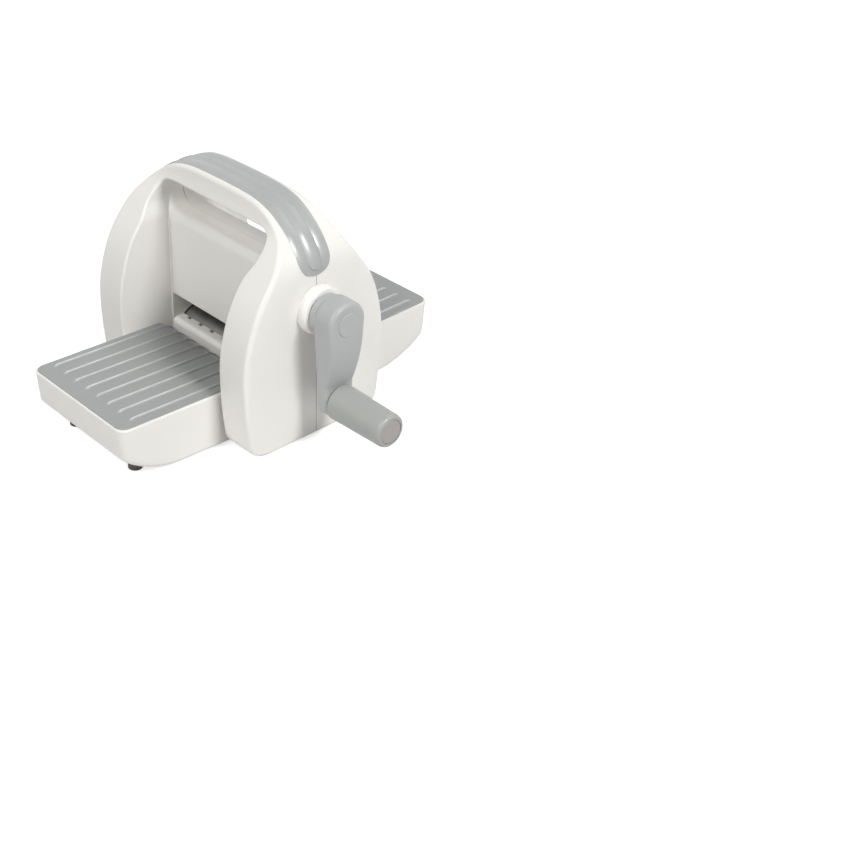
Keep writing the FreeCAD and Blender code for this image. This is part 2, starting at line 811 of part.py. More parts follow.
def belly_arc(inset, start, end):
    """Arc of the belly between two places along the tray, moved inwards by the inset."""
    run, drop = -size("tray_flat_length") - TRAY_END, TRAY_LOW_END - TRAY_BOTTOM
    radius = (run**2 + drop**2) / (2 * drop)
    centre_x, centre_z = -size("tray_flat_length"), TRAY_BOTTOM + radius
    radius -= inset

    def point(x):
        return Vector(x, 0, centre_z - math.sqrt(radius**2 - (x - centre_x)**2))

    return Part.Arc(point(start), point((start + end) / 2), point(end)).toShape()


def tray_form():
    reach, top = size("tray_reach"), size("barrel_radius")
    radius, flat_start = size("barrel_radius"), -size("tray_flat_length")
    low_end, bottom, end_low_x = TRAY_LOW_END, TRAY_BOTTOM, TRAY_END
    down, up = math.radians(-30), math.radians(30)
    barrel_end = Vector(radius * math.cos(down), 0, radius * math.sin(down))
    quarter = Vector(radius * math.cos(up), 0, radius * math.sin(up))
    heel = Vector(size("tray_heel"), 0, bottom)
    low_corner = Vector(end_low_x, 0, low_end)
    edges = [
        Part.makeLine(Vector(-reach, 0, top), Vector(0, 0, top)),
        Part.Arc(Vector(0, 0, top), quarter, barrel_end).toShape(),
        Part.makeLine(barrel_end, heel),
        Part.makeLine(heel, Vector(flat_start, 0, bottom)),
        belly_arc(0.0, flat_start, end_low_x),
        Part.makeLine(low_corner, Vector(-reach, 0, top)),
    ]
    wire = Part.Wire(Part.__sortEdges__(edges))
    half = size("tray_width") / 2
    form = both_ways(Part.Face(wire), Vector(0, half, 0))
    corners = [
        e for e in form.Edges
        if abs(abs(e.BoundBox.Center.y) - half) < 1e-6 and e.BoundBox.YLength < 1e-6
        and e.BoundBox.XMin < end_low_x and e.BoundBox.XMax < end_low_x + 0.1
    ]
    form = form.makeFillet(size("tray_corner"), corners)
    below = []
    for edge in form.Edges:
        reach_box = edge.BoundBox
        belly = reach_box.ZMax < low_end + 0.1 and reach_box.XMax < flat_start + 0.1
        floor = reach_box.ZMax < bottom + 0.1 and reach_box.XLength > 5
        if (belly and reach_box.YLength < half) or floor or (belly and reach_box.XLength < 0.1):
            below.append(edge)
    form = form.makeFillet(size("tray_belly_rounding"), below)
    outer = form.common(box(-2 * reach, 0, -2 * half, 2 * half, 2 * bottom, 2 * top))
    rims = [e for e in outer.Edges if e.BoundBox.ZMin > top - 1e-6 and e.BoundBox.XMin < -1]
    outer = outer.makeFillet(size("tray_rim_rounding"), rims)
    inner = form.common(box(0, 2 * reach, -2 * half, 2 * half, 2 * bottom, 2 * top))
    return outer.fuse(inner).removeSplitter()


def tray_mat_form():
    """Sheet over the top of the tray and round its barrel, with square rims."""
    radius, thick = MAT_RADIUS, size("mat_thickness")
    end = -(size("tray_reach") - size("mat_border"))
    down = math.radians(-22)
    inner = radius - thick
    outer_end = Vector(radius * math.cos(down), 0, radius * math.sin(down))
    inner_end = Vector(inner * math.cos(down), 0, inner * math.sin(down))
    up = math.radians(34)
    edges = [
        Part.makeLine(Vector(end, 0, radius), Vector(0, 0, radius)),
        Part.Arc(
            Vector(0, 0, radius), Vector(radius * math.cos(up), 0, radius * math.sin(up)), outer_end
        ).toShape(),
        Part.makeLine(outer_end, inner_end),
        Part.Arc(
            inner_end, Vector(inner * math.cos(up), 0, inner * math.sin(up)), Vector(0, 0, inner)
        ).toShape(),
        Part.makeLine(Vector(0, 0, inner), Vector(end, 0, inner)),
        Part.makeLine(Vector(end, 0, inner), Vector(end, 0, radius)),
    ]
    wire = Part.Wire(Part.__sortEdges__(edges))
    half = size("tray_width") / 2 - size("mat_border")
    form = both_ways(Part.Face(wire), Vector(0, half, 0))
    corners = [
        e for e in form.Edges
        if e.BoundBox.ZLength > thick * 0.5 and e.BoundBox.XMax < end + 0.1
        and e.BoundBox.YLength < 1e-6
    ]
    return form.makeFillet(size("tray_corner") - size("mat_border"), corners)


def tray_mat():
    """Mat with its round ribs, which follow the barrel down at the inner end."""
    radius = MAT_RADIUS
    height, width = size("rib_height"), size("rib_width")
    tube = (width**2 / 4 + height**2) / (2 * height)
    axis_radius = radius + height - tube
    end = -(size("tray_reach") - size("mat_border") - size("rib_end_setback"))
    taper = size("rib_taper")
    mat = tray_mat_form()
    rims = [
        e for e in mat.Edges
        if e.BoundBox.ZMin > radius - 1e-6 and e.BoundBox.XMin < -1
    ]
    mat = mat.makeFillet(size("mat_rounding"), rims)
    ribs = []
    for k in range(RIB_COUNT):
        y = (k - (RIB_COUNT - 1) / 2) * size("rib_pitch")
        straight = Part.makeCylinder(
            tube, -end - taper, Vector(end + taper, y, axis_radius), Vector(1, 0, 0)
        )
        point = Part.makeCone(
            tube, tube - height, taper, Vector(end + taper, y, axis_radius), Vector(-1, 0, 0)
        )
        quarter = Part.makeTorus(axis_radius, tube, Vector(0, 0, 0), Vector(0, 0, 1), 0, 360, 90)
        quarter.rotate(Vector(0, 0, 0), Vector(1, 0, 0), 90)
        quarter.translate(Vector(0, y, 0))
        low_tip = Part.makeSphere(tube, Vector(axis_radius, y, 0))
        ribs.extend([straight, point, quarter, low_tip])
    return mat.fuse(ribs).removeSplitter()


def tray_shell():
    """Tray moulding, open under its mat, with holes for the hinge pins and the feet."""
    wall = size("tray_wall")
    half, ledge = size("tray_width") / 2 - wall, size("tray_mat_ledge")
    under_mat = MAT_RADIUS - size("mat_thickness")
    ceiling, inner_end = under_mat - size("tray_mat_seat"), TRAY_END + wall
    belly = belly_arc(wall, inner_end, -size("tray_flat_length"))
    floor, heel = TRAY_BOTTOM + wall, size("tray_heel") - size("tray_heel_wall")
    corners = [
        belly.Vertexes[1].Point, Vector(heel, 0, floor),
        Vector(heel, 0, -size("barrel_radius") * 0.75),
        Vector(-size("barrel_radius") - 2.0, 0, ceiling), Vector(inner_end, 0, ceiling),
        belly.Vertexes[0].Point,
    ]
    sides = [Part.makeLine(a, b) for a, b in zip(corners, corners[1:])]
    room = both_ways(Part.Face(Part.Wire(Part.__sortEdges__(sides + [belly]))), Vector(0, half, 0))
    mouth = box(
        inner_end + ledge, -size("barrel_radius") - 2.0,
        -half + ledge, half - ledge, ceiling - 0.5, MAT_RADIUS + 1,
    )
    shell = tray_form().cut([room, mouth, tray_mat_form()])
    pin = size("hinge_pin_diameter") / 2 + size("running_gap")
    holes = [rod_y(pin, -half - 5, half + 5)]
    for y in (-size("tray_foot_spacing") / 2, size("tray_foot_spacing") / 2):
        holes.append(rod_z(size("tray_foot_stem") / 2, -40, 0, -TRAY_FOOT_X, y))
    return shell.cut(holes)


def tray_feet():
    """Feet moulded to the belly of the tray, each with a stem through its wall."""
    tilt = math.radians(size("tray_tilt"))
    ground = -(size("hinge_height") + TRAY_FOOT_X * math.sin(tilt)) / math.cos(tilt)
    radius = size("tray_foot_diameter") / 2
    sole = ground + radius * math.sin(tilt)
    body = tray_form()
    feet = []
    for y in (-size("tray_foot_spacing") / 2, size("tray_foot_spacing") / 2):
        pad = Part.makeCone(
            radius * 0.86, radius, TRAY_LOW_END - sole, Vector(-TRAY_FOOT_X, y, sole)
        )
        pad = pad.cut(body)
        pad = max(pad.Solids, key=lambda solid: -solid.BoundBox.ZMin)
        stem = rod_z(
            size("tray_foot_stem") / 2, sole + size("tray_foot_pad"),
            TRAY_LOW_END - size("tray_foot_stem_inset"), -TRAY_FOOT_X, y,
        )
        feet.append(pad.fuse(stem).removeSplitter())
    return Part.makeCompound(feet)


def hinge_pins():
    """Two pins with a spacing collar, fixed in the bay walls, running in the tray walls."""
    radius = size("hinge_pin_diameter") / 2
    collar = radius + size("hinge_collar_wall")
    tray_half = size("tray_width") / 2
    inside = tray_half - size("tray_wall") - 1.4
    pins = []
    for side in (-1, 1):
        y0, y1 = sorted((side * inside, side * (CAVITY_INSIDE - 0.2)))
        c0, c1 = sorted((side * (tray_half + size("tray_side_play")), side * BAY_HALF))
        pins.append(rod_y(radius, y0, y1).fuse(rod_y(collar, c0, c1)).removeSplitter())
    return Part.makeCompound(pins)


def tray_place(front):
    """Placement of a tray at its hinge, tilted up outwards onto its feet."""
    tilt = Rotation(Vector(0, 1, 0), size("tray_tilt"))
    turn = Rotation(Vector(0, 0, 1), 0 if front else 180)
    x = -size("hinge_setback") if front else size("hinge_setback")
    return Placement(Vector(x, 0, size("hinge_height")), turn.multiply(tilt))


# Gears
def gear_points(teeth, phase):
    """Corners of an involute gear outline about the origin, in the XZ plane."""
    module = size("gear_module")
    pitch = module * teeth / 2
    base = pitch * math.cos(math.radians(20))
    tip, root = pitch + 0.95 * module, pitch - 1.2 * module
    start = max(base, root)
    half_tooth = (math.pi * module / 2 - size("gear_backlash")) / 2 / pitch

    def involute(radius):
        angle = math.acos(min(1.0, base / radius))
        return math.tan(angle) - angle

    at_pitch = involute(pitch)
    flank = []
    steps = 5
    for i in range(steps + 1):
        radius = start + (tip - start) * i / steps
        flank.append((radius, half_tooth + at_pitch - involute(radius)))
    if root < start:
        flank.insert(0, (root, flank[0][1]))
    points = []
    for k in range(teeth):
        centre = phase + 2 * math.pi * k / teeth
        for radius, half in flank:
            points.append((radius, centre - half))
        for radius, half in reversed(flank):
            points.append((radius, centre + half))
    return [Vector(r * math.cos(a), 0, r * math.sin(a)) for r, a in points]


def gear_disc(teeth, phase, y0, y1, x, z, bore):
    """Spur gear between two planes of Y, bored."""
    face = polygon_face(gear_points(teeth, phase))
    disc = face.extrude(Vector(0, y1 - y0, 0)).translated(Vector(x, y0, z))
    return disc.cut(rod_y(bore, y0 - 1, y1 + 1, x, z))


def gap_phase(teeth, direction):
    """Phase that puts the middle of a gap at the given direction."""
    return direction + math.pi / teeth


def gears():
    to_idler = math.atan2(IDLER_Z - CRANK_AXIS, IDLER_X)
    idler_to_upper = math.atan2(UPPER_AXIS - IDLER_Z, -IDLER_X)
    keep("crank_pinion", gear_disc(
        CRANK_TEETH, to_idler, -LAYER_B_END, -LAYER_B, 0, CRANK_AXIS, CRANK_RADIUS
    ))
    bore = SHAFT_RADIUS + size("running_gap")
    big = gear_disc(
        BIG_TEETH, gap_phase(BIG_TEETH, to_idler + math.pi), -LAYER_B_END, -LAYER_B,
        IDLER_X, IDLER_Z, bore,
    )
    small = gear_disc(
        SMALL_TEETH, idler_to_upper, -LAYER_A_END, -LAYER_A, IDLER_X, IDLER_Z, bore
    )
    hub_end = -PLATE_OUT - size("gear_side_play")
    hub = washer(SHAFT_RADIUS + size("gear_hub_wall"), bore, -LAYER_B, hub_end, IDLER_X, IDLER_Z)
    keep("reduction_gear", big.fuse([small, hub]).removeSplitter())
    keep("upper_roller_drive_gear", gear_disc(
        UPPER_TEETH, gap_phase(UPPER_TEETH, idler_to_upper + math.pi), -LAYER_A_END, -LAYER_A,
        0, UPPER_AXIS, SHAFT_RADIUS,
    ))
    down = -math.pi / 2
    keep("upper_coupling_gear", gear_disc(
        UPPER_TEETH, down, LAYER_A, LAYER_A_END, 0, UPPER_AXIS, SHAFT_RADIUS
    ))
    keep("lower_coupling_gear", gear_disc(
        LOWER_TEETH, gap_phase(LOWER_TEETH, -down), LAYER_A, LAYER_A_END, 0, LOWER_AXIS, SHAFT_RADIUS
    ))


# Rollers, turned about their own axes
WALL_AND_PLATE = "bay_width / 2 + bay_wall + plate_thickness"
ROLLER_NECK = "bay_width / 2 + bay_wall - bush_flange - roller_side_play"
RING_ROOM = "retaining_ring_play + retaining_ring_thickness + 0.5"


def roller(name, radius, axis, near_end):
    """Roller with a seat for a ring at each end, a neck and a shaft end through each plate."""
    barrel = "roller_length / 2"
    ring = "roller_length / 2 + end_ring_width"
    shaft, throat = "roller_shaft_diameter / 2", "roller_neck_diameter / 2"
    seat = f"{radius} + end_ring_proud - end_ring_thickness"
    far_end = f"{WALL_AND_PLATE} + gear_spacing + gear_width + {RING_ROOM}"
    far_half = [
        (radius, barrel), (seat, barrel), (seat, ring), (throat, ring), (throat, ROLLER_NECK),
        (shaft, ROLLER_NECK), (shaft, far_end), ("0", far_end),
    ]
    near_half = [
        ("0", f"0 - ({near_end})"), (shaft, f"0 - ({near_end})"), (shaft, f"0 - ({ROLLER_NECK})"),
        (throat, f"0 - ({ROLLER_NECK})"), (throat, f"0 - ({ring})"), (seat, f"0 - ({ring})"),
        (seat, f"0 - ({barrel})"), (radius, f"0 - ({barrel})"),
    ]
    keep(name, turned(name, near_half + far_half, along_plus_y(0, 0, axis)))


def end_rings(name, radius, axis):
    """Soft rings on the ends of a roller, a little proud of it."""
    half = size("roller_length") / 2
    wide = half + size("end_ring_width")
    outer = radius + size("end_ring_proud")
    inner = outer - size("end_ring_thickness")
    rings = [washer(outer, inner, y0, y1, 0, axis) for y0, y1 in ((-wide, -half), (half, wide))]
    keep(name, Part.makeCompound(rings))


def rollers():
    lower_radius = "lower_roller_diameter / 2"
    upper_radius = f"{lower_radius} * {UPPER_TEETH} / {LOWER_TEETH}"
    roller("lower_roller", lower_radius, LOWER_AXIS, f"{WALL_AND_PLATE} + {RING_ROOM}")
    gear_end = f"{WALL_AND_PLATE} + gear_spacing + gear_width"
    roller("upper_roller", upper_radius, UPPER_AXIS, f"{gear_end} + gear_spacing * 0.7")
    end_rings("lower_roller_end_rings", LOWER_RADIUS, LOWER_AXIS)
    end_rings("upper_roller_end_rings", UPPER_RADIUS, UPPER_AXIS)


def washer(outer, inner, y0, y1, x, z):
    return rod_y(outer, y0, y1, x, z).cut(rod_y(inner, y0 - 1, y1 + 1, x, z))


def retaining_ring(side, start, x, z):
    """Ring on a shaft end, a little clear of the face it holds back."""
    y0 = start + size("retaining_ring_play")
    y0, y1 = sorted((side * y0, side * (y0 + size("retaining_ring_thickness"))))
    return washer(SHAFT_RADIUS + size("retaining_ring_width"), SHAFT_RADIUS, y0, y1, x, z)


def retaining_rings():
    keep("lower_roller_retaining_rings", Part.makeCompound([
        retaining_ring(-1, PLATE_OUT, 0, LOWER_AXIS),
        retaining_ring(1, LAYER_A_END, 0, LOWER_AXIS),
    ]))
    keep("upper_roller_retaining_ring", retaining_ring(1, LAYER_A_END, 0, UPPER_AXIS))
    keep("reduction_gear_retaining_ring", retaining_ring(-1, LAYER_B_END, IDLER_X, IDLER_Z))


# Frame inside the housing
def plate_holes(near):
    """Round holes of a side plate as (x, z, diameter formula)."""
    bush = "roller_shaft_diameter + 2 * bush_wall"
    screw = "plate_screw_diameter + 2 * screw_clearance"
    holes = [(0.0, LOWER_AXIS, bush), (0.0, UPPER_AXIS, bush)]
    if near:
        holes.append((0.0, CRANK_AXIS, "crank_shaft_diameter + 2 * bush_wall"))
        holes.append((IDLER_X, IDLER_Z, "roller_shaft_diameter"))
    return holes + [(x, z, screw) for x, z in plate_screw_places() + rod_places()]


def side_plate(name, near):
    """Steel plate with its holes, drawn on the XZ plane and padded towards -Y."""
    body = doc.addObject("PartDesign::Body", name)
    sketch = body.newObject("Sketcher::SketchObject", name + "_outline")
    plane = [f for f in body.Origin.OriginFeatures if f.Role == "XZ_Plane"][0]
    sketch.AttachmentSupport = [(plane, "")]
    sketch.MapMode = "FlatFace"
    left, right = "0 - plate_length / 2", "plate_length / 2"
    corners = [
        (left, "plate_foot"), (right, "plate_foot"), (right, "plate_top"), (left, "plate_top"),
    ]
    values = [(evaluate(x), evaluate(z)) for x, z in corners]
    for i in range(4):
        start, end = Vector(*values[i], 0), Vector(*values[(i + 1) % 4], 0)
        sketch.addGeometry(Part.LineSegment(start, end), False)
    for i in range(4):
        sketch.addConstraint(Sketcher.Constraint("Coincident", i, 2, (i + 1) % 4, 1))
    for i in range(4):
        for kind, value, text in zip(("DistanceX", "DistanceY"), values[i], corners[i]):
            n = sketch.addConstraint(Sketcher.Constraint(kind, -1, 1, i, 1, value))
            sketch.setExpression(f"Constraints[{n}]", expression(text))
    for x, z, text in plate_holes(near):
        wide = evaluate(text)
        circle = Part.Circle(Vector(x, z, 0), Vector(0, 0, 1), wide / 2)
        g = sketch.addGeometry(circle, False)
        n = sketch.addConstraint(Sketcher.Constraint("Diameter", g, wide))
        sketch.setExpression(f"Constraints[{n}]", expression(text))
        if abs(x) < 1e-9:
            sketch.addConstraint(Sketcher.Constraint("PointOnObject", g, 3, -2))
        else:
            sketch.addConstraint(Sketcher.Constraint("DistanceX", -1, 1, g, 3, x))
        sketch.addConstraint(Sketcher.Constraint("DistanceY", -1, 1, g, 3, z))
    pad = body.newObject("PartDesign::Pad", name + "_pad")
    pad.Profile = sketch
    pad.Length = size("plate_thickness")
    pad.setExpression("Length", expression("plate_thickness"))
    body.Tip = pad
    y = -CAVITY_INSIDE if near else PLATE_OUT
    body.Placement = Placement(Vector(0, y, 0), Rotation())
    doc.recompute()
    keep(name, body)


def bush(shaft_radius, x, z, side):
    """Flanged bush in a side plate, flange towards the bay."""
    outer = shaft_radius + size("bush_wall")
    y0, y1 = sorted((side * (CAVITY_INSIDE - size("bush_flange")), side * CAVITY_INSIDE))
    y2, y3 = sorted((side * CAVITY_INSIDE, side * PLATE_OUT))
    flange = rod_y(outer + size("bush_flange_step"), y0, y1, x, z)
    form = flange.fuse(rod_y(outer, y2, y3, x, z)).removeSplitter()
    bore = shaft_radius + size("running_gap")
    return form.cut(rod_y(bore, min(y0, y2) - 1, max(y1, y3) + 1, x, z))


def plate_screw(side, x, z, tip):
    """Screw with its head on the outside of a side plate and its end at |y| = tip."""
    h0, h1 = sorted((side * PLATE_OUT, side * (PLATE_OUT + HEAD_HEIGHT)))
    s0, s1 = sorted((side * PLATE_OUT, side * tip))
    head = rod_y(HEAD_RADIUS, h0, h1, x, z)
    return head.fuse(rod_y(PLATE_SCREW_RADIUS, s0, s1, x, z)).removeSplitter()


def frame():
    side_plate("side_plate_crank_side", True)
    side_plate("side_plate_far_side", False)
    for name, axis in (("lower_roller_bushes", LOWER_AXIS), ("upper_roller_bushes", UPPER_AXIS)):
        keep(name, Part.makeCompound([bush(SHAFT_RADIUS, 0, axis, side) for side in (-1, 1)]))
    keep("crank_shaft_bush", bush(CRANK_RADIUS, 0, CRANK_AXIS, -1))
    keep("tie_rods", Part.makeCompound([
        washer(size("rod_diameter") / 2, PLATE_SCREW_RADIUS, -CAVITY_INSIDE, CAVITY_INSIDE, x, z)
        for x, z in rod_places()
    ]))
    rod_tip = PLATE_OUT - size("tie_rod_screw_length")
    keep("tie_rod_screws", Part.makeCompound([
        plate_screw(side, x, z, rod_tip) for x, z in rod_places() for side in (-1, 1)
    ]))
    wall_tip = BAY_HALF + size("screw_tip_cover")
    keep("side_plate_screws", Part.makeCompound([
        plate_screw(side, x, z, wall_tip) for x, z in plate_screw_places() for side in (-1, 1)
    ]))
    ring_room = size("retaining_ring_play") + size("retaining_ring_thickness") + 0.5
    keep("reduction_gear_axle", rod_y(
        SHAFT_RADIUS, -LAYER_B_END - ring_room, -CAVITY_INSIDE, IDLER_X, IDLER_Z
    ))


# Crank
def crank():
    shaft = "crank_shaft_diameter / 2"
    shoulder = f"{shaft} + crank_shoulder"
    shoulder_start = f"{WALL_AND_PLATE} + crank_end_play"
    pinion_start = f"{WALL_AND_PLATE} + 2 * gear_spacing + gear_width"
    arm_out = "housing_width / 2 + collar_height + collar_gap + hub_height + arm_thickness"
    end = f"{arm_out} - shaft_end_inset"
    thread = "plate_screw_diameter / 2"
    corners = [
        ("0", ROLLER_NECK), (shaft, ROLLER_NECK), (shaft, shoulder_start),
        (shoulder, shoulder_start), (shoulder, pinion_start), (shaft, pinion_start), (shaft, end),
        (thread, end), (thread, f"{end} - crank_screw_length"), ("0", f"{end} - crank_screw_length"),
    ]
    keep("crank_shaft", turned("crank_shaft", corners, along_minus_y(0, 0, CRANK_AXIS)))
    keep("crank_spacer", washer(
        CRANK_RADIUS + size("crank_spacer_wall"), CRANK_RADIUS,
        -CAVITY_OUTSIDE + size("gear_side_play"), -LAYER_B_END, 0, CRANK_AXIS,
    ))
    bore = f"{shaft} + running_gap"
    spigot, wide = "collar_diameter / 2 - collar_step", "collar_diameter / 2"
    seat, high = "housing_wall", "housing_wall + collar_height"
    corners = [
        (bore, "0"), (spigot, "0"), (spigot, seat), (wide, seat),
        (wide, f"{high} - collar_rounding"),
        (f"{wide} - collar_rounding * 0.14", f"{high} - collar_rounding * 0.46"),
        (f"{wide} - collar_rounding * 0.46", f"{high} - collar_rounding * 0.14"),
        (f"{wide} - collar_rounding", high), (bore, high),
    ]
    place = along_minus_y(0, -CAVITY_OUTSIDE, CRANK_AXIS)
    keep("crank_collar", turned("crank_collar", corners, place))
    keep("crank_arm", crank_arm())
    cap_back = -ARM_OUT + size("cap_recess")
    cap_front = cap_back - size("cap_thickness")
    disc = rod_y(size("cap_diameter") / 2 - size("cap_gap"), cap_front, cap_back, 0, CRANK_AXIS)
    rim = [edge for edge in disc.Edges if edge.BoundBox.YMax < cap_front + 0.01]
    keep("crank_cap", disc.makeFillet(size("cap_thickness") * 0.3, rim))
    head = rod_y(
        size("crank_screw_head_diameter") / 2, SCREW_SEAT - size("crank_screw_head_height"),
        SCREW_SEAT, 0, CRANK_AXIS,
    )
    tip = SCREW_SEAT + size("crank_screw_length")
    shank = rod_y(PLATE_SCREW_RADIUS, SCREW_SEAT, tip, 0, CRANK_AXIS)
    keep("crank_screw", head.fuse(shank).removeSplitter())


SCREW_SEAT = -ARM_OUT + size("shaft_end_inset") - size("crank_screw_floor")


def arm_outline():
    """Two round ends of different size joined by their outer tangents."""
    top, low = size("arm_hub_width") / 2, size("arm_knob_width") / 2
    tilt = math.asin((top - low) / size("crank_throw"))
    c, s = math.cos(tilt), math.sin(tilt)
    upper, lower = Vector(0, 0, CRANK_AXIS), Vector(0, 0, KNOB_AXIS)
    right_up = upper + Vector(top * c, 0, -top * s)
    right_low = lower + Vector(low * c, 0, -low * s)
    left_up, left_low = Vector(-right_up.x, 0, right_up.z), Vector(-right_low.x, 0, right_low.z)
    edges = [
        Part.Arc(right_up, upper + Vector(0, 0, top), left_up).toShape(),
        Part.makeLine(left_up, left_low),
        Part.Arc(left_low, lower - Vector(0, 0, low), right_low).toShape(),
        Part.makeLine(right_low, right_up),
    ]
    return Part.Face(Part.Wire(Part.__sortEdges__(edges)))


def crank_arm():
    """Arm with a hub at the shaft, a face that falls away towards the knob, and bores."""
    throw = size("crank_throw")
    end_face = ARM_IN + size("arm_end_thickness")
    arm = arm_outline().extrude(Vector(0, -size("arm_thickness"), 0))
    arm = arm.translated(Vector(0, -ARM_IN, 0))
    side = -size("arm_hub_width") * 2
    start = Vector(side, -ARM_OUT, CRANK_AXIS - size("arm_fall_start"))
    end = Vector(side, -end_face, KNOB_AXIS + size("arm_fall_end"))
    fall = Part.BezierCurve()
    fall.setPoles([start, Vector(side, start.y, (start.z + end.z) / 2), end])
    outside = [
        end, Vector(side, -end_face, KNOB_AXIS - throw), Vector(side, -ARM_OUT - 5, KNOB_AXIS - throw),
        Vector(side, -ARM_OUT - 5, start.z), start,
    ]
    edges = [fall.toShape()] + [Part.makeLine(a, b) for a, b in zip(outside, outside[1:])]
    wedge = Part.Face(Part.Wire(Part.__sortEdges__(edges))).extrude(Vector(-2 * side, 0, 0))
    arm = arm.cut(wedge)
    back = []
    for edge in arm.Edges:
        if edge.BoundBox.YMax > -ARM_IN - 0.01 and edge.BoundBox.YLength < 0.01:
            back.append(edge)
    arm = arm.makeFillet(size("arm_back_rounding"), back)
    rim = []
    for edge in arm.Edges:
        reach = edge.BoundBox
        straight_across = reach.ZLength < 0.01 and reach.YLength < 0.01
        if reach.YMax < -end_face + 0.01 and not straight_across:
            rim.append(edge)
    arm = arm.makeFillet(size("arm_rounding"), rim)
    arm = arm.fuse(rod_y(size("hub_diameter") / 2, -ARM_IN - 2, -HUB_IN, 0, CRANK_AXIS))
    screw_head = (size("crank_screw_head_diameter") + size("cap_gap") * 2) / 2
    holes = [
        rod_y(CRANK_RADIUS, -ARM_OUT + size("shaft_end_inset"), -HUB_IN + 1, 0, CRANK_AXIS),
        rod_y(PLATE_SCREW_RADIUS + size("cap_gap"), -ARM_OUT, -HUB_IN, 0, CRANK_AXIS),
        rod_y(screw_head, -ARM_OUT - 1, SCREW_SEAT, 0, CRANK_AXIS),
        rod_y(
            size("cap_diameter") / 2, -ARM_OUT - 1, -ARM_OUT + size("cap_recess"), 0, CRANK_AXIS
        ),
        rod_y(
            size("spindle_diameter") / 2, -end_face - 1, -ARM_IN - size("spindle_seat_floor"),
            0, KNOB_AXIS,
        ),
    ]
    return arm.cut(holes)


# Knob
def knob():
    end = "knob_length"
    bore = "spindle_diameter / 2 + running_gap"
    base, rim = "knob_diameter / 2", "knob_end_diameter / 2"
    plug = "knob_plug_diameter / 2"
    plug_floor = f"{end} - knob_plug_inset - knob_plug_thickness"
    head_floor = f"{plug_floor} - spindle_head_room"
    head_room = "spindle_diameter / 2 + spindle_head_step + spindle_head_clearance"
    corners = [
        (bore, "0"), (f"{base} - 0.8", "0"), (base, "0.8"), (base, "5"),
        (rim, f"{end} - 2.2"), (f"{rim} - 0.3", f"{end} - 1.0"), (f"{rim} - 0.9", f"{end} - 0.3"),
        (f"{rim} - 1.7", end), (plug, end), (plug, plug_floor),
        (head_room, plug_floor), (head_room, head_floor), (bore, head_floor),
    ]
    keep("knob_sleeve", turned("knob_sleeve", corners, along_minus_y(0, -KNOB_IN, KNOB_AXIS)))
    plug_top = f"{end} - knob_plug_inset"
    plug_corners = [
        ("0", plug_floor), (plug, plug_floor), (plug, f"{plug_top} - 0.4"),
        (f"{plug} - 0.5", plug_top), ("0", plug_top),
    ]
    keep("knob_plug", turned("knob_plug", plug_corners, along_minus_y(0, -KNOB_IN, KNOB_AXIS)))
    pin = size("spindle_diameter") / 2
    head_start = KNOB_IN + evaluate(head_floor) + size("gear_side_play")
    shank = rod_y(pin, -head_start, -ARM_IN - size("spindle_seat_floor"), 0, KNOB_AXIS)
    head = rod_y(
        pin + size("spindle_head_step"), -head_start - size("spindle_head_height"), -head_start,
        0, KNOB_AXIS,
    )
    keep("knob_spindle", shank.fuse(head).removeSplitter())


def shell_screws():
    shank = size("shell_screw_diameter") / 2
    screws = []
    for y, z in screw_posts():
        head = rod_x(HEAD_RADIUS, POST_SEAT, POST_SEAT + HEAD_HEIGHT, y, z)
        screws.append(head.fuse(rod_x(shank, POST_TIP, POST_SEAT, y, z)).removeSplitter())
    keep("shell_screws", Part.makeCompound(screws))


def base_feet():
    radius, top = size("base_foot_diameter") / 2, size("housing_bottom") + size("base_foot_recess")
    keep("base_feet", Part.makeCompound([
        rod_z(radius, 0, top, x, y) for x, y in base_foot_places()
    ]))


def trays():
    shell, mat, feet, pins = tray_shell(), tray_mat(), tray_feet(), hinge_pins()
    for name, front in (("front", True), ("rear", False)):
        place = tray_place(front)
        for word, shape in (("tray", shell), ("tray_mat", mat), ("tray_feet", feet)):
            thing = keep(f"{name}_{word}", shape.copy())
            thing.Placement = place
        sign = -1 if front else 1
        thing = keep(f"{name}_hinge_pins", pins.copy())
        thing.Placement = Placement(
            Vector(sign * size("hinge_setback"), 0, size("hinge_height")), Rotation()
        )


def build():
    front, rear = housing_shells()
    keep("front_shell", front)
    keep("rear_shell", rear)
    keep("handle_grip", grip_shape())
    trays()
    rollers()
    gears()
    retaining_rings()
    frame()
    crank()
    knob()
    shell_screws()
    base_feet()


def check_and_write():
    doc.recompute()
    for thing in doc.Objects:
        for state in thing.State:
            if state in ("Invalid", "Error"):
                raise RuntimeError(f"{thing.Name} is {state}")
    for name, thing in NODES.items():
        shape = thing.Shape
        if shape.isNull() or not shape.isValid() or not shape.Solids:
            raise RuntimeError(f"{name} has no valid solid")
    for name, thing in NODES.items():
        thing.Shape.exportStep(os.path.join("parts", name + ".step"))


build()
sheet.clear("D1")
check_and_write()
print(len(NODES), "nodes")
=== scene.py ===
import math

import bpy
from mathutils import Matrix, Vector


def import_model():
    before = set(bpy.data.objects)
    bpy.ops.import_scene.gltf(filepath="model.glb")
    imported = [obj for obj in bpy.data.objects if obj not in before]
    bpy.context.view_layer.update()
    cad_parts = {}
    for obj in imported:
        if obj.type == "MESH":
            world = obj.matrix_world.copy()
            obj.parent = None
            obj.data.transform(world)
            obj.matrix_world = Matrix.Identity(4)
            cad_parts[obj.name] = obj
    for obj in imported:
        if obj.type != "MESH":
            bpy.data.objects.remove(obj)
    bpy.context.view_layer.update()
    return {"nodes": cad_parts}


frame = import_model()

nodes = frame["nodes"]
MM = 0.001

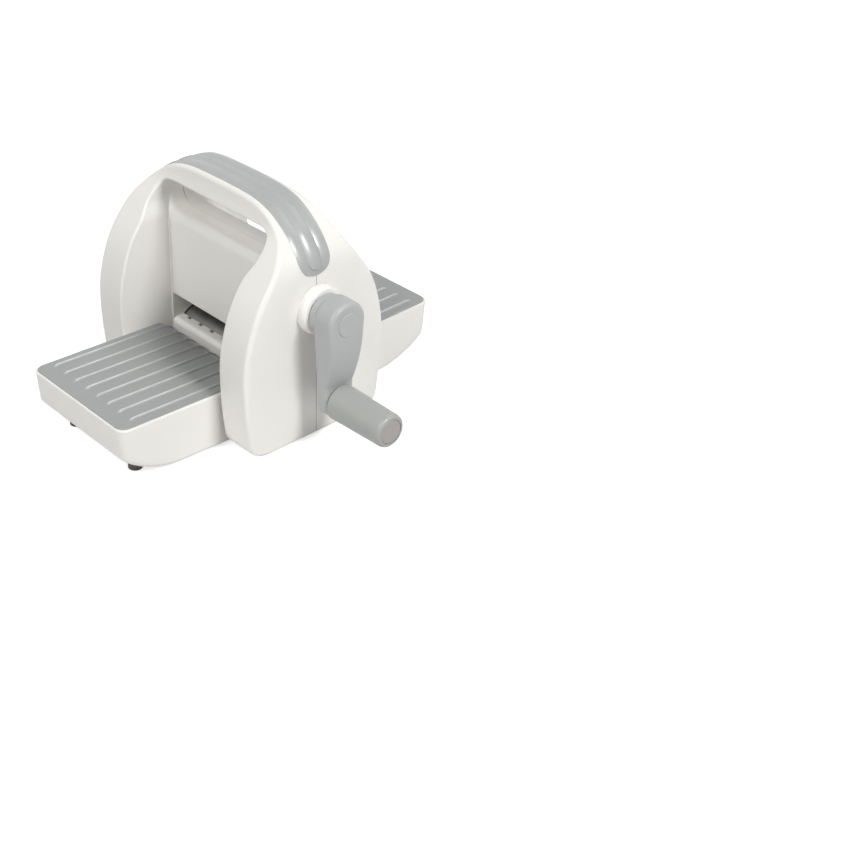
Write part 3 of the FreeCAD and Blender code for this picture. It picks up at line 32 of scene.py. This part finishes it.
# Camera of the photograph: 850 pixels across, looking down on the crank side from the front tray
IMAGE_PIXELS = 850
FOCAL_PIXELS = 1535.6
CENTRE_PIXEL = (300.0, 310.0)
SENSOR_MM = 36.0
CAMERA_AZIMUTH = -40.61
CAMERA_ELEVATION = 28.71
CAMERA_PLACE = Vector((-0.4595, -0.5887, 0.4580))

# Colours, as they look in sRGB from 0 to 255
WHITE = (239, 237, 232)
GRIP_GREY = (170, 173, 172)
MAT_GREY = (161, 164, 163)
CRANK_GREY = (178, 180, 180)
KNOB_GREY = (168, 170, 167)
PLUG_GREY = (166, 161, 158)
ROLLER_DARK = (138, 138, 134)
RUBBER_BLACK = (38, 38, 38)
FOOT_DARK = (92, 92, 90)
STEEL = (176, 176, 174)
SCREW_STEEL = (150, 150, 147)
GEAR_STEEL = (132, 132, 130)
BRONZE = (176, 142, 92)

# Parting line of the shells: half width of its bottom and of its rim
SEAM_BOTTOM = 0.10 * MM
SEAM_RIM = 0.26 * MM
# The parting line is fine on the core between the pillars, and plain beyond the bay's walls
CORE_EDGE = 43.0 * MM
PILLAR_EDGE = 46.0 * MM

# Ribs of the mats: distance between them, half width of the painted highlight on their crests
# (full, then gone), start and end along X
RIB_PITCH = 10.0 * MM
CREST_HIGHLIGHT_FULL = 0.4 * MM
CREST_EDGE = 1.0 * MM
RIB_START = 36.0 * MM
RIB_END = 99.0 * MM
RIB_FADE = 2.0 * MM
# Painted shade on the mats along X: full at the rollers, gone further out
PAINTED_SHADE_FULL = 28.0 * MM
PAINTED_SHADE_GONE = 70.0 * MM


def linear(colour):
    """sRGB 0 to 255 as the linear RGBA that a shader socket takes."""
    out = []
    for value in colour:
        c = value / 255
        out.append(c / 12.92 if c <= 0.04045 else ((c + 0.055) / 1.055) ** 2.4)
    return (*out, 1.0)


def scaled(colour, factor):
    return tuple(min(255.0, c * factor) for c in colour)


# Node building
class Recipe:
    """A material's node tree with short calls for the nodes used here."""

    def __init__(self, name):
        self.material = bpy.data.materials.new(name)
        self.material.use_nodes = True
        self.tree = self.material.node_tree
        self.shader = self.tree.nodes["Principled BSDF"]
        coordinates = self.tree.nodes.new("ShaderNodeTexCoord")
        self.place = coordinates.outputs["Object"]

    def node(self, kind, **settings):
        made = self.tree.nodes.new(kind)
        for key, value in settings.items():
            setattr(made, key, value)
        return made

    def link(self, source, target):
        self.tree.links.new(source, target)

    def noise(self, scale, detail=3.0, place=None):
        """Noise of about the given scale per metre, as a value from 0 to 1."""
        made = self.node("ShaderNodeTexNoise")
        made.inputs["Scale"].default_value = scale
        made.inputs["Detail"].default_value = detail
        self.link(place or self.place, made.inputs["Vector"])
        return made.outputs["Fac"]

    def stretched(self, scale):
        """Object coordinates scaled differently along X, Y and Z."""
        made = self.node("ShaderNodeMapping")
        made.inputs["Scale"].default_value = scale
        self.link(self.place, made.inputs["Vector"])
        return made.outputs["Vector"]

    def axes(self):
        """The X, Y and Z of the object coordinates."""
        made = self.node("ShaderNodeSeparateXYZ")
        self.link(self.place, made.inputs["Vector"])
        return made.outputs

    def cells(self, scale):
        """Distance to the nearest cell centre, for pores and spangle."""
        made = self.node("ShaderNodeTexVoronoi")
        made.inputs["Scale"].default_value = scale
        self.link(self.place, made.inputs["Vector"])
        return made.outputs["Distance"]

    def math(self, operation, a, b=0.0):
        made = self.node("ShaderNodeMath", operation=operation)
        for socket, value in zip(made.inputs, (a, b)):
            if isinstance(value, (int, float)):
                socket.default_value = value
            else:
                self.link(value, socket)
        return made.outputs[0]

    def range(self, value, low, high, out_low, out_high):
        """Maps a value from one range to another, held at the ends."""
        made = self.node("ShaderNodeMapRange")
        self.link(value, made.inputs["Value"])
        for name, number in (
            ("From Min", low), ("From Max", high), ("To Min", out_low), ("To Max", out_high),
        ):
            made.inputs[name].default_value = number
        return made.outputs["Result"]

    def patchy(self, scale, low, high, detail=3.0):
        """Value that wanders between two levels over the surface."""
        return self.range(self.noise(scale, detail), 0.3, 0.7, low, high)

    def blend(self, factor, first, second):
        """Mixes two colours, each a colour or a socket, by a socket."""
        made = self.node("ShaderNodeMix", data_type="RGBA")
        self.link(factor, made.inputs["Factor"])
        for name, value in (("A", first), ("B", second)):
            socket = [s for s in made.inputs if s.name == name and s.type == "RGBA"][0]
            if isinstance(value, tuple):
                socket.default_value = value
            else:
                self.link(value, socket)
        return [s for s in made.outputs if s.type == "RGBA"][0]

    def shades(self, mask, colour, first, second=1.0):
        """Colour that varies between two of its shades."""
        return self.blend(mask, linear(scaled(colour, first)), linear(scaled(colour, second)))

    def tint(self, mask, base, colour, factor):
        """Blends a base towards one shade of a colour."""
        return self.blend(mask, base, linear(scaled(colour, factor)))

    def bump(self, height, strength, distance, below=None):
        made = self.node("ShaderNodeBump")
        made.inputs["Strength"].default_value = strength
        made.inputs["Distance"].default_value = distance
        self.link(height, made.inputs["Height"])
        if below is not None:
            self.link(below, made.inputs["Normal"])
        return made.outputs["Normal"]

    def levels(self, **settings):
        """Sets the shader's own sockets, named with _ for each space."""
        for name, value in settings.items():
            self.shader.inputs[name.replace("_", " ")].default_value = value

    def edges(self, radius):
        """1 along convex and concave edges, 0 on open faces."""
        soft = self.node("ShaderNodeBevel", samples=4)
        soft.inputs["Radius"].default_value = radius
        flat = self.node("ShaderNodeNewGeometry")
        dot = self.node("ShaderNodeVectorMath", operation="DOT_PRODUCT")
        self.link(soft.outputs["Normal"], dot.inputs[0])
        self.link(flat.outputs["Normal"], dot.inputs[1])
        return self.range(dot.outputs["Value"], 0.995, 0.90, 0.0, 1.0)

    def finish(self, colour, roughness, normal=None):
        for name, value in (("Base Color", colour), ("Roughness", roughness)):
            socket = self.shader.inputs[name]
            if isinstance(value, (tuple, float)):
                socket.default_value = value
            else:
                self.link(value, socket)
        if normal is not None:
            self.link(normal, self.shader.inputs["Normal"])
        return self.material


# Materials
def moulded_plastic(name, colour, roughness=0.38, grain=900.0, wear=0.5, seam=False):
    """Moulded plastic: fine satin texture, slow shade changes, rubbed edges."""
    r = Recipe(name)
    base = r.shades(r.patchy(14.0, 0.0, 1.0, detail=2.0), colour, 0.985)
    specks = r.range(r.noise(grain * 0.6, 2.0), 0.66, 0.80, 0.0, 0.10)
    base = r.tint(specks, base, colour, 0.90)
    rubbed = r.math("MULTIPLY", r.edges(0.6 * MM), r.range(r.noise(60.0), 0.35, 0.7, 0.0, wear))
    base = r.tint(rubbed, base, colour, 1.03)
    shine = r.patchy(35.0, roughness - 0.05, roughness + 0.05)
    shine = r.math("SUBTRACT", shine, r.math("MULTIPLY", rubbed, 0.08))
    normal = r.bump(r.noise(grain, 4.0), 0.35, 0.03 * MM)
    if seam:
        groove, darkness = parting_line(r)
        base = r.tint(r.math("MULTIPLY", groove, darkness), base, colour, 0.45)
        normal = r.bump(r.math("SUBTRACT", 1.0, groove), 0.8, 0.2 * MM, normal)
    r.levels(Specular_IOR_Level=0.42, Coat_Weight=0.06, Coat_Roughness=0.22)
    return r.finish(base, shine, normal)


def parting_line(r):
    """Groove where the two shells meet at X = 0, and how dark it looks at each place."""
    axes = r.axes()
    groove = r.range(r.math("ABSOLUTE", axes["X"]), SEAM_BOTTOM, SEAM_RIM, 1.0, 0.0)
    darkness = r.range(r.math("ABSOLUTE", axes["Y"]), CORE_EDGE, PILLAR_EDGE, 0.15, 0.75)
    return groove, darkness


def soft_rubber(name, colour, roughness=0.62, specular=0.35):
    """Soft-touch rubber: matte pores, a light bloom and polished rims."""
    r = Recipe(name)
    fine = r.noise(1500.0, 5.0)
    base = r.shades(r.patchy(22.0, 0.0, 1.0), colour, 0.965)
    base = r.tint(r.range(fine, 0.30, 0.44, 0.25, 0.0), base, colour, 0.80)
    rubbed = r.math("MULTIPLY", r.edges(0.5 * MM), r.patchy(90.0, 0.1, 0.6))
    base = r.tint(rubbed, base, colour, 1.08)
    shine = r.patchy(48.0, roughness - 0.06, roughness + 0.06)
    shine = r.math("SUBTRACT", shine, r.math("MULTIPLY", rubbed, 0.12))
    r.levels(Sheen_Weight=0.15, Sheen_Roughness=0.45, Specular_IOR_Level=specular)
    return r.finish(base, shine, r.bump(fine, 0.45, 0.05 * MM))


def painted_rib_highlights(r, along, across):
    """Painted highlight on the crests of a mat's eight ribs, fading as painted shade towards the
    rollers.
    """
    turns = r.math("DIVIDE", across, RIB_PITCH)
    beside = r.math("ABSOLUTE", r.math("SUBTRACT", r.math("FRACT", turns), 0.5))
    crest = r.range(beside, CREST_HIGHLIGHT_FULL / RIB_PITCH, CREST_EDGE / RIB_PITCH, 1.0, 0.0)
    inner = r.range(along, RIB_START, RIB_START + 0.6 * (RIB_END - RIB_START), 0.1, 1.0)
    outer = r.range(along, RIB_END - RIB_FADE, RIB_END, 1.0, 0.0)
    return r.math("MULTIPLY", crest, r.math("MULTIPLY", inner, outer))


def ribbed_mat(name, colour):
    """Textured mat: pores at two sizes, painted shade near the rollers, painted highlights on
    the rib crests.
    """
    r = Recipe(name)
    axes = r.axes()
    along = r.math("ABSOLUTE", axes["X"])
    pores = r.cells(1300.0)
    fine = r.math("MULTIPLY", r.noise(2400.0), 0.5)
    base = r.shades(r.patchy(18.0, 0.0, 1.0), colour, 0.96)
    # Painted shade: the mat is darkened towards the rollers
    base = r.tint(r.range(along, PAINTED_SHADE_FULL, PAINTED_SHADE_GONE, 0.75, 0.0), base, colour, 0.72)
    base = r.tint(r.range(pores, 0.10, 0.45, 0.22, 0.0), base, colour, 0.82)
    rubbed = r.math("MULTIPLY", r.edges(0.45 * MM), r.patchy(120.0, 0.2, 0.7))
    base = r.tint(rubbed, base, colour, 1.12)
    # Painted highlight: the rib crests are lighter, less so towards the rollers
    crest_highlight = r.math("MULTIPLY", painted_rib_highlights(r, along, axes["Y"]), r.patchy(150.0, 0.55, 0.95))
    base = r.tint(crest_highlight, base, colour, 1.38)
    height = r.math("ADD", r.math("MULTIPLY", pores, 0.7), fine)
    r.levels(Specular_IOR_Level=0.45, Sheen_Weight=0.08)
    return r.finish(base, r.patchy(40.0, 0.28, 0.38), r.bump(height, 0.4, 0.05 * MM))


def turned_metal(name, colour, roughness):
    """Ground or turned metal: fine marks round the axis, faint tarnish, bright edges."""
    r = Recipe(name)
    lines = r.noise(1.0, 3.0, r.stretched((60.0, 2600.0, 60.0)))
    base = r.shades(r.range(r.noise(45.0, 4.0), 0.35, 0.7, 0.0, 1.0), colour, 0.90)
    base = r.tint(r.range(lines, 0.4, 0.6, 0.0, 0.35), base, colour, 1.12)
    base = r.tint(r.math("MULTIPLY", r.edges(0.4 * MM), 0.6), base, colour, 1.25)
    shine = r.range(lines, 0.3, 0.7, roughness - 0.07, roughness + 0.09)
    r.levels(Metallic=1.0)
    return r.finish(base, shine, r.bump(lines, 0.4, 0.012 * MM))


def sheet_steel(name, colour):
    """Zinc plated sheet: cloudy spangle, rolling marks and rubbed edges."""
    r = Recipe(name)
    marks = r.noise(1.0, 2.0, r.stretched((900.0, 60.0, 60.0)))
    base = r.shades(r.range(r.cells(260.0), 0.1, 0.6, 0.0, 1.0), colour, 0.92, 1.06)
    base = r.tint(r.math("MULTIPLY", r.edges(0.4 * MM), 0.5), base, colour, 1.2)
    r.levels(Metallic=1.0)
    return r.finish(base, r.range(marks, 0.3, 0.7, 0.30, 0.44), r.bump(marks, 0.3, 0.01 * MM))


MATERIALS = {
    "housing_white": moulded_plastic("housing_white", WHITE, seam=True),
    "tray_white": moulded_plastic("tray_white", WHITE, grain=1000.0),
    "collar_white": moulded_plastic("collar_white", scaled(WHITE, 1.01), roughness=0.32),
    "crank_grey": moulded_plastic("crank_grey", CRANK_GREY, roughness=0.40, wear=0.7),
    "knob_grey": moulded_plastic("knob_grey", KNOB_GREY, roughness=0.42, wear=0.6),
    "plug_grey": moulded_plastic("plug_grey", PLUG_GREY, roughness=0.45, wear=0.6),
    "grip_grey": soft_rubber("grip_grey", GRIP_GREY, roughness=0.33, specular=0.75),
    "mat_grey": ribbed_mat("mat_grey", MAT_GREY),
    "black_rubber": soft_rubber("black_rubber", RUBBER_BLACK, roughness=0.58),
    "foot_rubber": soft_rubber("foot_rubber", FOOT_DARK, roughness=0.66),
    "roller_steel": turned_metal("roller_steel", ROLLER_DARK, roughness=0.48),
    "shaft_steel": turned_metal("shaft_steel", STEEL, roughness=0.28),
    "screw_steel": turned_metal("screw_steel", SCREW_STEEL, roughness=0.34),
    "gear_steel": turned_metal("gear_steel", GEAR_STEEL, roughness=0.42),
    "bush_bronze": turned_metal("bush_bronze", BRONZE, roughness=0.40),
    "plate_steel": sheet_steel("plate_steel", STEEL),
}

FINISH = {
    "housing_white": ("front_shell", "rear_shell"),
    "collar_white": ("crank_collar",),
    "tray_white": ("front_tray", "rear_tray"),
    "mat_grey": ("front_tray_mat", "rear_tray_mat"),
    "grip_grey": ("handle_grip",),
    "crank_grey": ("crank_arm", "crank_cap"),
    "knob_grey": ("knob_sleeve",),
    "plug_grey": ("knob_plug",),
    "black_rubber": ("lower_roller_end_rings", "upper_roller_end_rings"),
    "foot_rubber": ("front_tray_feet", "rear_tray_feet", "base_feet"),
    "roller_steel": ("lower_roller", "upper_roller"),
    "shaft_steel": (
        "crank_shaft", "crank_spacer", "knob_spindle", "reduction_gear_axle",
        "front_hinge_pins", "rear_hinge_pins",
    ),
    "screw_steel": (
        "shell_screws", "tie_rod_screws", "side_plate_screws", "crank_screw",
        "lower_roller_retaining_rings", "upper_roller_retaining_ring",
        "reduction_gear_retaining_ring",
    ),
    "gear_steel": (
        "reduction_gear", "crank_pinion", "upper_roller_drive_gear", "upper_coupling_gear",
        "lower_coupling_gear",
    ),
    "bush_bronze": ("lower_roller_bushes", "upper_roller_bushes", "crank_shaft_bush"),
    "plate_steel": ("side_plate_crank_side", "side_plate_far_side", "tie_rods"),
}


def dress_nodes():
    """Gives each node its material in every one of its slots."""
    for name, members in FINISH.items():
        for member in members:
            slots = nodes[member].material_slots
            if not slots:
                nodes[member].data.materials.append(MATERIALS[name])
            for slot in slots:
                slot.material = MATERIALS[name]


# Stage
FLOOR_SIZE = 6.0
FLOOR_GREY = 228
FLOOR_LIFT = 0.62
WORLD_LIGHT = 0.16
LAMP_TARGET = Vector((0.0, 0.0, 0.07))
# Lamps: place and side in metres, power in watts
LAMPS = {
    "front_high": ((-1.1, -0.1, 1.1), 0.8, 10.7),
    "side_high": ((0.1, -1.1, 1.05), 0.35, 13.0),
    "rear_high": ((1.15, -0.15, 0.9), 0.8, 2.6),
    "far_high": ((-0.1, 1.2, 0.9), 0.8, 2.6),
}


def floor():
    """Pale floor that keeps the shadows, lifted to white where the camera sees it."""
    mesh = bpy.data.meshes.new("floor")
    h = FLOOR_SIZE / 2
    mesh.from_pydata([(-h, -h, 0), (h, -h, 0), (h, h, 0), (-h, h, 0)], [], [(0, 1, 2, 3)])
    obj = bpy.data.objects.new("floor", mesh)
    bpy.context.scene.collection.objects.link(obj)
    r = Recipe("floor_pale")
    grey = (FLOOR_GREY, FLOOR_GREY, FLOOR_GREY)
    r.levels(Specular_IOR_Level=0.1, Emission_Color=(1, 1, 1, 1))
    r.finish(r.shades(r.noise(3.0, 2.0), grey, 1.0, 1.01), 0.9)
    rays = r.node("ShaderNodeLightPath")
    lift = r.math("MULTIPLY", rays.outputs["Is Camera Ray"], FLOOR_LIFT)
    r.link(lift, r.shader.inputs["Emission Strength"])
    mesh.materials.append(r.material)


def world():
    """White to the camera and in reflections, dim as a lamp."""
    made = bpy.data.worlds.new("studio")
    made.use_nodes = True
    tree = made.node_tree
    rays = tree.nodes.new("ShaderNodeLightPath").outputs
    seen = rays["Is Camera Ray"]
    for other in (rays["Is Glossy Ray"], rays["Is Transmission Ray"]):
        either = tree.nodes.new("ShaderNodeMath")
        either.operation = "MAXIMUM"
        tree.links.new(seen, either.inputs[0])
        tree.links.new(other, either.inputs[1])
        seen = either.outputs[0]
    strength = tree.nodes.new("ShaderNodeMapRange")
    strength.inputs["To Min"].default_value = WORLD_LIGHT
    strength.inputs["To Max"].default_value = 1.0
    tree.links.new(seen, strength.inputs["Value"])
    background = tree.nodes["Background"]
    background.inputs["Color"].default_value = (1.0, 1.0, 1.0, 1.0)
    tree.links.new(strength.outputs["Result"], background.inputs["Strength"])
    bpy.context.scene.world = made


def lights():
    """Square softboxes aimed at the middle of the part."""
    for name, (place, side, power) in LAMPS.items():
        lamp = bpy.data.lights.new(name, "AREA")
        lamp.shape = "SQUARE"
        lamp.size = side
        lamp.energy = power
        obj = bpy.data.objects.new(name, lamp)
        bpy.context.scene.collection.objects.link(obj)
        aim = (LAMP_TARGET - Vector(place)).to_track_quat("-Z", "Y")
        obj.matrix_world = Matrix.LocRotScale(Vector(place), aim, None)


def camera():
    """Camera of the photograph, shifted to where the part stands in its frame."""
    data = bpy.data.cameras.new("photo_camera")
    data.sensor_width = SENSOR_MM
    data.sensor_fit = "HORIZONTAL"
    data.lens = FOCAL_PIXELS * data.sensor_width / IMAGE_PIXELS
    data.shift_x = (IMAGE_PIXELS / 2 - CENTRE_PIXEL[0]) / IMAGE_PIXELS
    data.shift_y = (CENTRE_PIXEL[1] - IMAGE_PIXELS / 2) / IMAGE_PIXELS
    obj = bpy.data.objects.new("photo_camera", data)
    obj.location = CAMERA_PLACE
    obj.rotation_euler = (
        math.radians(90.0 - CAMERA_ELEVATION), 0.0, math.radians(CAMERA_AZIMUTH)
    )
    bpy.context.scene.collection.objects.link(obj)
    bpy.context.scene.camera = obj


dress_nodes()
floor()
world()
lights()
camera()
bpy.context.scene.view_settings.view_transform = "Standard"
